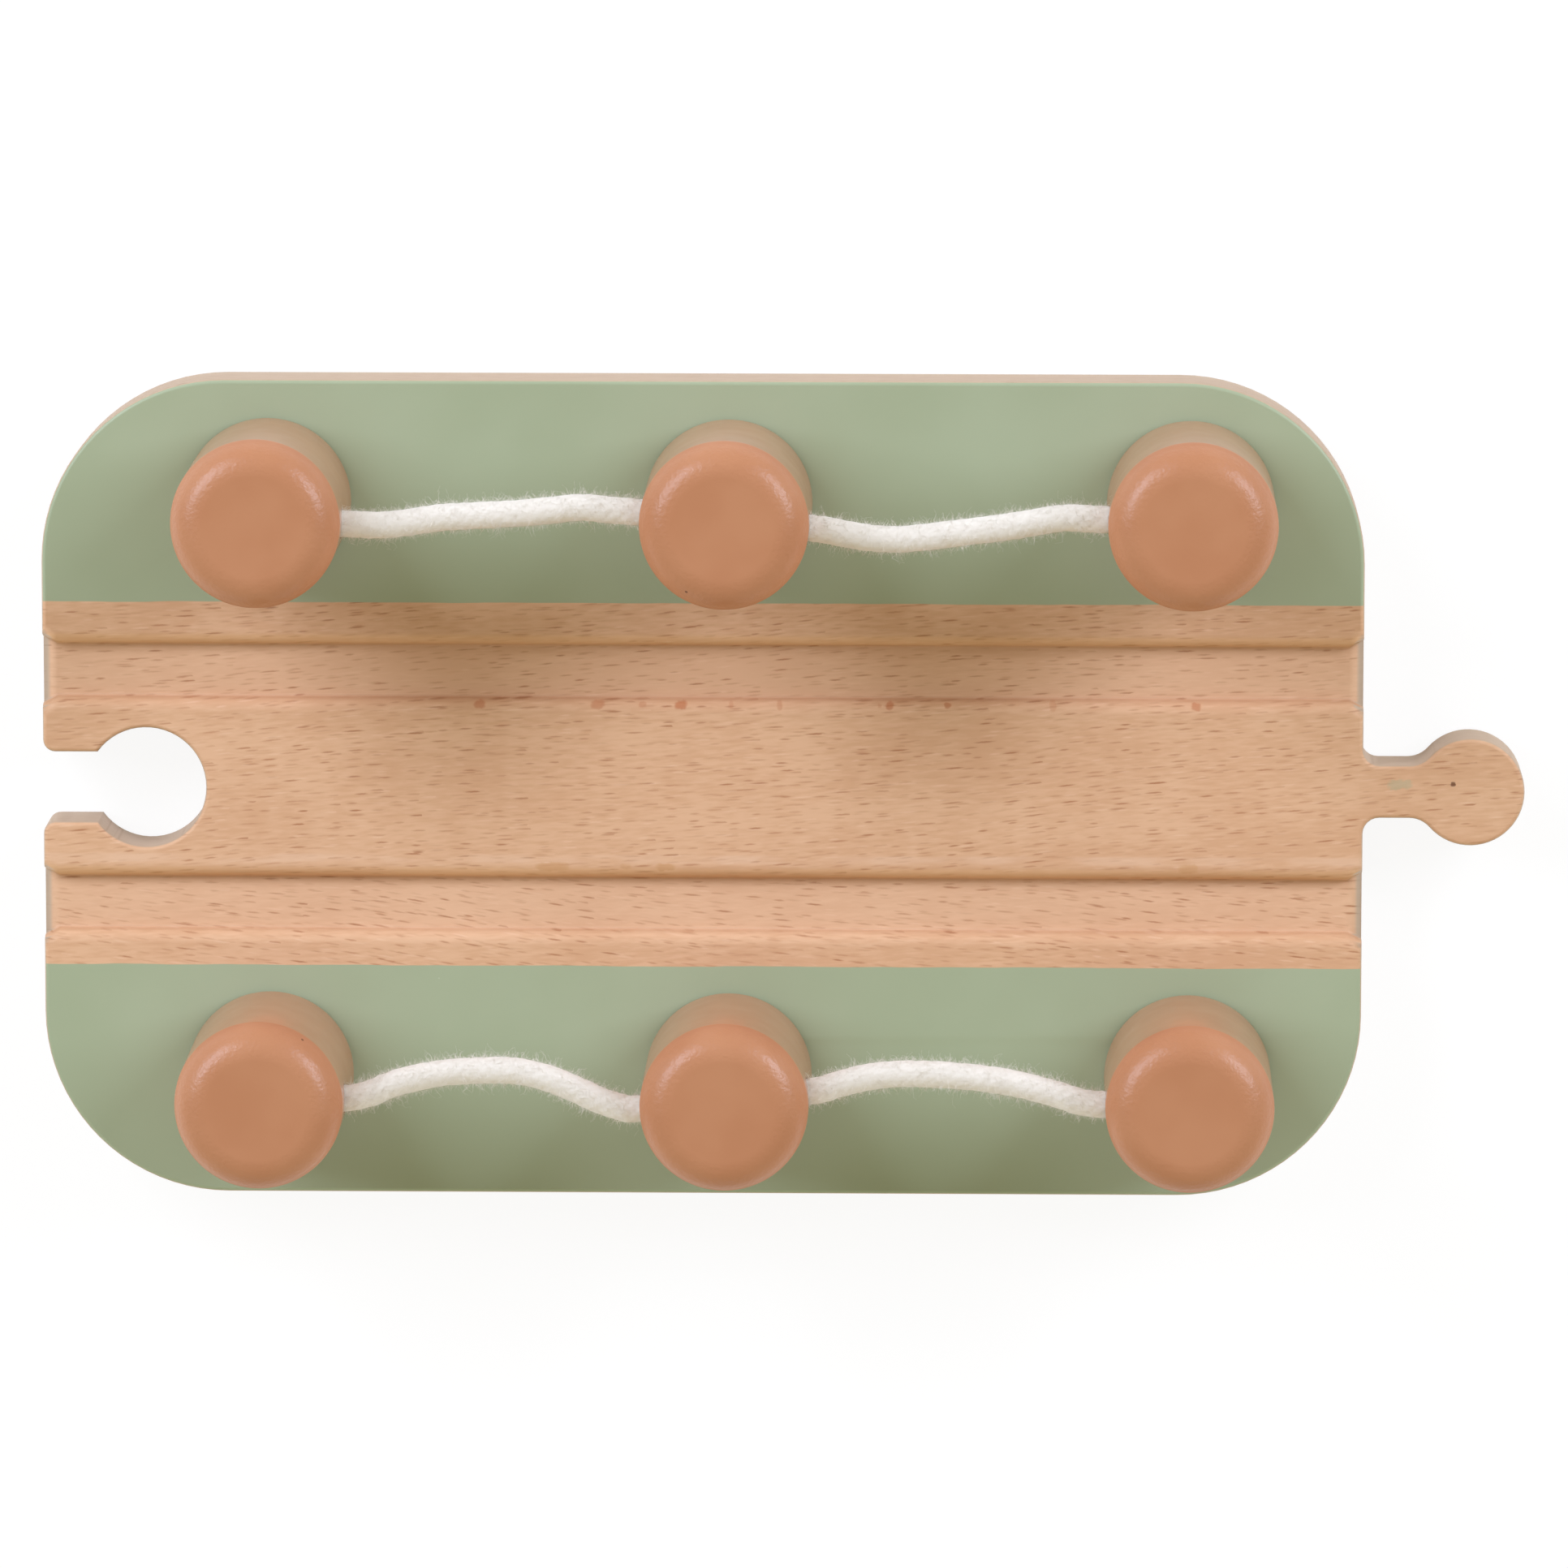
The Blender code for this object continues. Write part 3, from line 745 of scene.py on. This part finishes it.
def marked(tree, wood, place):
    """Wood with its stains, a pale line along a lip and the marks on the peg."""
    x, y, z = tree.parts(place)
    ragged = (tree.noise(place, RAGGED_SCALE, 2.0) - 0.5) * RAGGED_REACH
    # A pale line, broken into streaks, runs along the top of a lip.
    pale_line = abs(y - PALE_LIP_LINE).step(PALE_LIP_REACH, PALE_LIP_REACH * 0.4)
    pale_line = pale_line * tree.noise(tree.vector(x * 120.0, y * 500.0, z), 1.0, 2.0).step(0.35, 0.65)
    wood = tree.mix(pale_line * PALE_LIP_DEPTH, wood, PALE_LIP)
    wood = tree.mix(patches(x + ragged, y + ragged, OCHRE_LINE, OCHRE_PATCHES), wood, OCHRE)
    resin = patches(x + ragged, y - ragged, RESIN_LINE, RESIN_SPOTS)
    wood = tree.mix(resin * RESIN_DEPTH, wood, RESIN)
    smudge = patches(x + ragged * 3, y + ragged * 2, PEG_SMUDGE_LINE, [PEG_SMUDGE])
    wood = tree.mix(smudge, wood, SAGE_DEEP)
    dot = patches(x + ragged, y, PEG_DOT_LINE, [PEG_DOT])
    return tree.mix(dot, wood, PEG_DOT_BROWN)


print(f"marks: {len(RESIN_SPOTS)} resin spots, {len(OCHRE_PATCHES)} ochre stains")

# %% [markdown]
# Shade is painted into the grooves: the wood is a little darker where it faces the soft boxes low in
# a groove, and on the floor at the foot of each far wall, where that wall's shadow falls. Light is
# painted onto their far lips, which turn away from the boxes, so that these come out lighter and
# warmer. The board's outer walls are bare beech, paler and greyer than the top; part of that is a
# painted reflection of the white surroundings, which they catch at a grazing angle. All three masks
# come from the height of a point and from the way that its surface faces.

# %% Grooves and walls
GROOVE_ZONE = (7.4 * MM, 18.2 * MM)
GROOVE_FLOOR = (DECK_TOP - 1.2 * MM, DECK_TOP - 1.6 * MM)
GROOVE_DEEP = (DECK_TOP - 0.4 * MM, DECK_TOP - 1.1 * MM)
GROOVE_MIDDLE = 12.8 * MM
GROOVE_FAR_FOOT = (1.5 * MM, 2.9 * MM)
# Colour of the shade painted low in the grooves.
GROOVE_PAINTED_SHADE = linear(150, 104, 74)
SLOPE_SHADE = 0.19
FOOT_SHADE = 0.10
# Colour of the light painted onto the grooves' far lips.
LIP_PAINTED_LIGHT = linear(228, 184, 138)
LIP_HEIGHT = (DECK_TOP - 1.7 * MM, DECK_TOP - 0.9 * MM)
LIP_LIGHT_DEPTH = 0.40


def groove_mask(y):
    """1 across both wheel grooves and their lips."""
    inner, outer = GROOVE_ZONE
    return (abs(y) > inner) * (abs(y) < outer)


def shaded_grooves(tree, wood, y, z):
    """Wood with painted shade low in the grooves and painted light on their far lips."""
    slope = tree.facing()[1]
    across = y - y.math("SIGN") * GROOVE_MIDDLE
    deep = z.step(*GROOVE_DEEP) * groove_mask(y)
    # Painted shade: darker where the surface faces the soft boxes, and at the foot of each far wall.
    shade = slope.step(0.10, 0.45) * SLOPE_SHADE + across.step(*GROOVE_FAR_FOOT) * FOOT_SHADE
    wood = tree.mix(deep * shade, wood, GROOVE_PAINTED_SHADE)
    # Painted light: far lips, turned away from the soft boxes, made lighter and warmer.
    lip = groove_mask(y) * slope.step(-0.12, -0.45) * z.step(*LIP_HEIGHT)
    return tree.mix(lip * LIP_LIGHT_DEPTH, wood, LIP_PAINTED_LIGHT)


def wall_mask(tree, y):
    """1 on the board's outer walls, 0 on its flat faces and in the grooves."""
    to_right, _, upward = tree.facing()
    in_groove = groove_mask(y) * abs(to_right).step(0.6, 0.3)
    return abs(upward).step(0.80, 0.35) * (1 - in_groove)


print("grooves and walls ready")

# %% [markdown]
# The deck's two margins are painted a satin sage green on the top face only. The paint is a mask on
# the board's own coordinates, with an edge that runs a little into the grain, so board and paint
# stay one piece as they are on the real one. A few specks of dust dried into it.

# %% Deck material
PAINT_EDGES = (20.46 * MM, -19.56 * MM)
PAINT_EDGE_SOFT = 0.05 * MM
PAINT_BLEED = 0.30 * MM
PAINT_DROP = 0.30 * MM
PAINT_DUST = linear(214, 220, 204)
DUST_SCALE = 105.0
DUST_SIZE = (0.022, 0.012)
DUST_SHARE = 0.20
WALL_DEPTH = 0.72
WOOD_ROUGHNESS = 0.50
SAGE_ROUGHNESS = 0.34
DECK_BUMP = 0.05 * MM


def paint_mask(tree, x, y, z):
    """1 on the painted margins of the top face."""
    bleed = tree.noise(tree.vector(x * 160.0, y * 2600.0, z * 300.0), 1.0, 2.0) - 0.5
    edge_y = y + bleed * PAINT_BLEED
    far_edge, near_edge = PAINT_EDGES
    far = edge_y.step(far_edge - PAINT_EDGE_SOFT, far_edge + PAINT_EDGE_SOFT)
    near = edge_y.step(near_edge + PAINT_EDGE_SOFT, near_edge - PAINT_EDGE_SOFT)
    return (far + near) * z.step(DECK_TOP - PAINT_DROP, DECK_TOP - 0.5 * PAINT_DROP)


def deck_material():
    material, tree, shader = new_material("painted_beech")
    place = tree.place()
    x, y, z = tree.parts(place)
    wood, pores, grain = beech_finish(tree, place, z.step(*GROOVE_FLOOR) * groove_mask(y))
    wood = marked(tree, shaded_grooves(tree, wood, y, z), place)
    # Outer walls: bare beech with a painted reflection of the white surroundings.
    wood = tree.mix(wall_mask(tree, y) * WALL_DEPTH, wood, BEECH_WALL_AND_REFLECTION)
    paint = paint_mask(tree, x, y, z)
    sage = tree.mix(tree.noise(place, 55.0, 2.0).step(0.3, 0.7), SAGE, SAGE_DEEP)
    sage = tree.mix(tree.specks(place, DUST_SCALE, DUST_SIZE, DUST_SHARE), sage, PAINT_DUST)
    tree.feed(shader.inputs["Base Color"], tree.mix(paint, wood, sage))
    rough = WOOD_ROUGHNESS + grain * 0.12 + pores * 0.12
    painted = SAGE_ROUGHNESS + tree.noise(place, 260.0, 2.0) * 0.08
    tree.feed(shader.inputs["Roughness"], rough + paint * (painted - rough))
    ripple = tree.noise(place, 700.0, 2.0) * 0.05
    height = (1 - paint) * (grain * 0.10 - pores * 0.15) + paint * (ripple - pores * 0.04)
    tree.feed(shader.inputs["Normal"], tree.bump(height, DECK_BUMP))
    shader.inputs["Specular IOR Level"].default_value = 0.35
    return material


DECK_MATERIAL = deck_material()
print(f"material: {DECK_MATERIAL.name}")

# %% [markdown]
# The frame's deck already has the right shape, with rounded edges, peg, socket and grooves, but
# it comes as loose flat triangles. A merged copy with its flat faces joined again can be shaded
# smoothly, and weighted normals keep the broad faces flat beside their narrow rounded edges.

# %% Deck
SMOOTH_ANGLE = math.radians(38.0)
FLAT_ANGLE = math.radians(0.3)
FACE_WEIGHT = 60
MERGE_DISTANCE = 0.001 * MM


def keep_modifiers(piece):
    """Apply a piece's modifiers to its mesh."""
    bpy.context.view_layer.update()
    evaluated = piece.evaluated_get(bpy.context.evaluated_depsgraph_get())
    mesh = bpy.data.meshes.new_from_object(evaluated)
    piece.modifiers.clear()
    piece.data = mesh


def smooth_with_flat_faces(piece):
    piece.data.shade_smooth()
    piece.data.set_sharp_from_angle(angle=SMOOTH_ANGLE)
    weigh = piece.modifiers.new("weigh", "WEIGHTED_NORMAL")
    weigh.keep_sharp = True
    weigh.weight = FACE_WEIGHT
    keep_modifiers(piece)


def merged_copy(node, name):
    shape = bmesh.new()
    shape.from_mesh(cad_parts[node].data)
    bmesh.ops.remove_doubles(shape, verts=shape.verts, dist=MERGE_DISTANCE)
    bmesh.ops.dissolve_limit(shape, angle_limit=FLAT_ANGLE, verts=shape.verts, edges=shape.edges)
    mesh = bpy.data.meshes.new(name)
    shape.to_mesh(mesh)
    shape.free()
    piece = bpy.data.objects.new(name, mesh)
    bpy.context.scene.collection.objects.link(piece)
    return piece


deck = merged_copy("deck_board", "deck")
smooth_with_flat_faces(deck)
deck.data.materials.clear()
deck.data.materials.append(DECK_MATERIAL)
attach(deck, "root")
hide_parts("deck_board")
print(f"deck: {len(deck.data.polygons)} faces")

# %% [markdown]
# The posts are turned wood under a satin terracotta paint. It dried with a fine ripple on the
# rounded rim, which breaks up the edges of the highlights, and a few dark specks stay in it. The
# straight walls are glossier, under a clear coat that fades out where they turn into the rim.

# %% Post paint
TERRACOTTA = linear(189, 133, 98)
TERRACOTTA_DEEP = linear(184, 127, 92)
SPECK = linear(92, 58, 40)
SPECK_SCALE = 170.0
SPECK_SIZE = (0.035, 0.02)
SPECK_SHARE = 0.28
SPECK_DEPTH = 0.8
SATIN_ROUGHNESS = 0.28
TURN_ROUGHNESS = 0.35
RIPPLE_SCALE = 2100.0
RIPPLE_BUMP = 0.065 * MM
COAT_SHARE = 0.55


def post_material():
    material, tree, shader = new_material("terracotta_paint")
    place = tree.place()
    cloud = tree.noise(place, 130.0, 2.0).step(0.3, 0.7)
    paint = tree.mix(cloud, TERRACOTTA, TERRACOTTA_DEEP)
    specks = tree.specks(place, SPECK_SCALE, SPECK_SIZE, SPECK_SHARE)
    tree.feed(shader.inputs["Base Color"], tree.mix(specks * SPECK_DEPTH, paint, SPECK))
    upward = tree.facing()[2]
    turn = upward.step(0.02, 0.12) * upward.step(0.55, 0.25)
    satin = SATIN_ROUGHNESS + tree.noise(place, 300.0, 2.0) * 0.10
    tree.feed(shader.inputs["Roughness"], satin + turn * TURN_ROUGHNESS)
    rim = upward.step(0.10, 0.45) * (0.15 + upward.step(1.0, 0.985) * 0.85)
    ripple = tree.noise(place, RIPPLE_SCALE, 2.0) * rim
    tree.feed(shader.inputs["Normal"], tree.bump(ripple, RIPPLE_BUMP))
    tree.feed(shader.inputs["Coat Weight"], upward.step(0.10, 0.01) * COAT_SHARE)
    shader.inputs["Coat Roughness"].default_value = 0.10
    shader.inputs["Specular IOR Level"].default_value = 0.32
    return material


POST_MATERIAL = post_material()
print(f"material: {POST_MATERIAL.name}")

# %% [markdown]
# Each post is turned afresh with many more facets than the frame's solid, from the same profile:
# a flat top that ends at a faint edge, a rounded rim, a straight side and an eased foot. The rope
# hole is a Boolean cut, turned a little from the row as the drill left it.

# %% Posts
TOP_FLAT_RADIUS = 5.6 * MM
TOP_EDGE = 0.15 * MM
RIM_SLOPE = math.radians(5.0)
RIM_STEPS = 18
FOOT_CHAMFER = 0.4 * MM
FOOT_GAP = 0.05 * MM
TURN_STEPS = 112
HOLE_RADIUS = 1.65 * MM
SEAT_DEPTH = 7.7 * MM
BORE_RADIUS = 4.3 * MM
BORE_DEPTH = 10.6 * MM
HOLE_STEPS = 48
DRILL_PAST = 1.3
SEAM_DISTANCE = 0.0001 * MM
HOLE_YAW = {
    "socket_far": -3.0,
    "middle_far": -5.0,
    "peg_far": -1.0,
    "socket_near": 0.0,
    "middle_near": 6.0,
    "peg_near": 2.0,
}


def post_profile(radius, height):
    rim = (radius - TOP_FLAT_RADIUS) / (1 - math.sin(RIM_SLOPE))
    rim_height = height - rim * math.cos(RIM_SLOPE)
    points = [(r, height) for r in (0.0, TOP_FLAT_RADIUS * 0.5, TOP_FLAT_RADIUS - TOP_EDGE)]
    for step in range(RIM_STEPS + 1):
        angle = RIM_SLOPE + (math.pi / 2 - RIM_SLOPE) * step / RIM_STEPS
        points.append((radius - rim + rim * math.sin(angle), rim_height + rim * math.cos(angle)))
    points += [(radius, FOOT_GAP + FOOT_CHAMFER), (radius - FOOT_CHAMFER, FOOT_GAP), (0.0, FOOT_GAP)]
    return points


def turned_mesh(name, profile):
    """Closed mesh of a profile turned about Z."""
    shape = bmesh.new()
    spots = [shape.verts.new((radius, 0.0, height)) for radius, height in profile]
    edges = [shape.edges.new(pair) for pair in zip(spots, spots[1:])]
    bmesh.ops.spin(
        shape,
        geom=spots + edges,
        axis=(0.0, 0.0, 1.0),
        cent=(0.0, 0.0, 0.0),
        angle=2 * math.pi,
        steps=TURN_STEPS,
        use_merge=True,
    )
    bmesh.ops.remove_doubles(shape, verts=shape.verts, dist=SEAM_DISTANCE)
    bmesh.ops.recalc_face_normals(shape, faces=shape.faces)
    mesh = bpy.data.meshes.new(name)
    shape.to_mesh(mesh)
    shape.free()
    return mesh


def hole_cutter(name, radius, start, end):
    shape = bmesh.new()
    way = end - start
    bmesh.ops.create_cone(
        shape, cap_ends=True, segments=HOLE_STEPS, radius1=radius, radius2=radius, depth=way.length
    )
    bmesh.ops.rotate(shape, verts=shape.verts, matrix=way.to_track_quat("Z", "Y").to_matrix())
    bmesh.ops.translate(shape, verts=shape.verts, vec=(start + end) / 2)
    mesh = bpy.data.meshes.new(name)
    shape.to_mesh(mesh)
    shape.free()
    cutter = bpy.data.objects.new(name, mesh)
    bpy.context.scene.collection.objects.link(cutter)
    return cutter


def cut_hole(piece, cutter):
    cut = piece.modifiers.new("hole", "BOOLEAN")
    cut.operation = "DIFFERENCE"
    cut.solver = "EXACT"
    cut.object = cutter
    keep_modifiers(piece)
    bpy.data.objects.remove(cutter)


def make_post(place, row):
    node = f"post_{place}_{row}"
    low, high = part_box(node)
    radius = (high.x - low.x) / 2
    foot = post_axis(node)
    mesh = turned_mesh(f"turned_{place}_{row}", post_profile(radius, high.z - DECK_TOP))
    mesh.transform(Matrix.Translation(foot))
    post = bpy.data.objects.new(f"turned_post_{place}_{row}", mesh)
    bpy.context.scene.collection.objects.link(post)
    up = Vector((0.0, 0.0, 1.0))
    cut_hole(post, hole_cutter("bore", BORE_RADIUS, foot - up * BORE_DEPTH, foot + up * BORE_DEPTH))
    yaw = math.radians(HOLE_YAW[f"{place}_{row}"])
    along = Vector((math.cos(yaw), math.sin(yaw), 0.0))
    past = radius * DRILL_PAST
    blind = radius - SEAT_DEPTH
    spans = {"socket": (blind, past), "middle": (-past, past), "peg": (-past, -blind)}
    middle = foot + up * ROPE_HEIGHT
    start, end = spans[place]
    cut_hole(post, hole_cutter("drill", HOLE_RADIUS, middle + along * start, middle + along * end))
    smooth_with_flat_faces(post)
    post.data.materials.clear()
    post.data.materials.append(POST_MATERIAL)
    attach(post, "root")
    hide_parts(node)
    return post


posts = [make_post(place, row) for row in ROWS for place in PLACES]
print(f"posts: {len(posts)} of {len(posts[0].data.polygons)} faces")

# %% [markdown]
# A glued dowel holds each post to the deck. Nothing of it shows, but it is there when the model
# is taken apart, so the frame's own dowels get a plain beech finish with the grain up their length.

# %% Dowels
DOWEL_LIGHT = linear(226, 196, 164)
DOWEL_DARK = linear(206, 172, 138)
DOWEL_GRAIN = (1800.0, 90.0)
DOWEL_BUMP = 0.05 * MM


def dowel_material():
    material, tree, shader = new_material("dowel_beech")
    x, y, z = tree.parts(tree.place())
    across, along = DOWEL_GRAIN
    grain = tree.noise(tree.vector(x * across, y * across, z * along), 1.0, 3.0)
    tree.feed(shader.inputs["Base Color"], tree.mix(grain.step(0.3, 0.7), DOWEL_LIGHT, DOWEL_DARK))
    tree.feed(shader.inputs["Roughness"], 0.6 + grain * 0.2)
    tree.feed(shader.inputs["Normal"], tree.bump(grain, DOWEL_BUMP, 0.5))
    return material


DOWEL_MATERIAL = dowel_material()
for row in ROWS:
    for place in PLACES:
        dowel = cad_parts[f"dowel_{place}_{row}"]
        dowel.data.materials.clear()
        dowel.data.materials.append(DOWEL_MATERIAL)
print(f"dowels dressed in {DOWEL_MATERIAL.name}")

# %% [markdown]
# The floor is a plain white sheet. Seen directly it mostly glows white, so that it reads as an
# empty background, and a share of it is lit, so that it keeps the track's shadow. For light that
# bounces off it towards the track it is an ordinary pale floor.

# %% Floor
FLOOR_DROP = 0.1 * MM
FLOOR_REACH = 4.0
FLOOR_GLOW = 0.90
FLOOR_LIT_SHARE = 0.12
FLOOR_PALE = 0.8


def grey(level):
    return (level, level, level, 1.0)


def floor_material():
    material, tree, shader = new_material("white_sheet")
    material.node_tree.nodes.remove(shader)
    rays = tree.node("ShaderNodeLightPath", output="Is Camera Ray")
    seen = (rays + rays.of("Is Glossy Ray") + rays.of("Is Transmission Ray")) > 0.5
    lit = tree.node("ShaderNodeBsdfDiffuse", (), {"Color": grey(FLOOR_LIT_SHARE)})
    glow = tree.node("ShaderNodeEmission", (), {"Strength": FLOOR_GLOW})
    shown = tree.node("ShaderNodeAddShader", (), {0: lit, 1: glow})
    pale = tree.node("ShaderNodeBsdfDiffuse", (), {"Color": grey(FLOOR_PALE)})
    surface = tree.node("ShaderNodeMixShader", (), {0: seen, 1: pale, 2: shown})
    tree.feed(material.node_tree.nodes["Material Output"].inputs["Surface"], surface)
    return material


sheet = bmesh.new()
bmesh.ops.create_grid(sheet, x_segments=1, y_segments=1, size=FLOOR_REACH)
bmesh.ops.translate(sheet, verts=sheet.verts, vec=(0.0, 0.0, cad_box[0][2] - FLOOR_DROP))
floor_mesh = bpy.data.meshes.new("floor")
sheet.to_mesh(floor_mesh)
sheet.free()
floor_mesh.materials.append(floor_material())
floor = bpy.data.objects.new("floor", floor_mesh)
bpy.context.scene.collection.objects.link(floor)
print(f"floor at {(cad_box[0][2] - FLOOR_DROP) / MM:.1f} mm")

# %% [markdown]
# Two soft boxes stand beyond the far corners, the left one a little stronger: each post's rim
# catches one highlight from either side. A low, wide sheet on the near side and a pale room, darker
# overhead, fill the shadows, warmer than the boxes, as light that has met wood and paper is. The
# sheet is kept out of reflections, so that it leaves no streak on the paint. Together they light
# the deck's top to about the level at which a colour renders as it is written.

# %% Light
LAMP_DISTANCE = 1.5
BOX_COLOUR = (0.76, 0.82, 1.0)
SHEET_COLOUR = (1.0, 0.97, 0.80)
LAMPS = {
    "left_box": ((-0.691, 0.484, 0.537), (1.15, 0.50), 20.1, BOX_COLOUR),
    "right_box": ((0.741, 0.445, 0.503), (0.80, 0.40), 14.9, BOX_COLOUR),
    "near_sheet": ((-0.059, -0.988, 0.139), (2.70, 0.40), 5.5, SHEET_COLOUR),
}
ROOM_COLOUR = (1.0, 0.91, 0.65, 1.0)
ROOM_STRENGTH = 0.64
ROOM_TO_FAR = -0.05
ROOM_TO_RIGHT = 0.05
ROOM_TO_TOP = -0.40

for name, (direction, size, power, colour) in LAMPS.items():
    lamp_data = bpy.data.lights.new(name, "AREA")
    lamp_data.shape = "RECTANGLE"
    lamp_data.size, lamp_data.size_y = size
    lamp_data.energy = power
    lamp_data.color = colour
    lamp = bpy.data.objects.new(name, lamp_data)
    lamp.location = Vector(direction).normalized() * LAMP_DISTANCE
    lamp.rotation_euler = lamp.location.to_track_quat("Z", "Y").to_euler()
    lamp.visible_glossy = name != "near_sheet"
    bpy.context.scene.collection.objects.link(lamp)

world = bpy.data.worlds.new("pale_room")
world.use_nodes = True
room = Tree(world.node_tree)
rays = room.node("ShaderNodeLightPath", output="Is Camera Ray")
seen = (rays + rays.of("Is Transmission Ray")) > 0.5
to_right, to_far, to_top = room.parts(room.node("ShaderNodeTexCoord"))
lean = to_right * ROOM_TO_RIGHT + to_far * ROOM_TO_FAR + to_top * ROOM_TO_TOP
fill = ROOM_STRENGTH * (1.0 + lean).math("MAXIMUM", 0.0)
background = world.node_tree.nodes["Background"]
room.feed(background.inputs["Color"], room.mix(seen, ROOM_COLOUR, grey(1.0)))
room.feed(background.inputs["Strength"], fill + seen * (1.0 - fill))
bpy.context.scene.world = world
bpy.context.scene.view_settings.view_transform = "Standard"
print("lights:", ", ".join(LAMPS), "and a pale room")
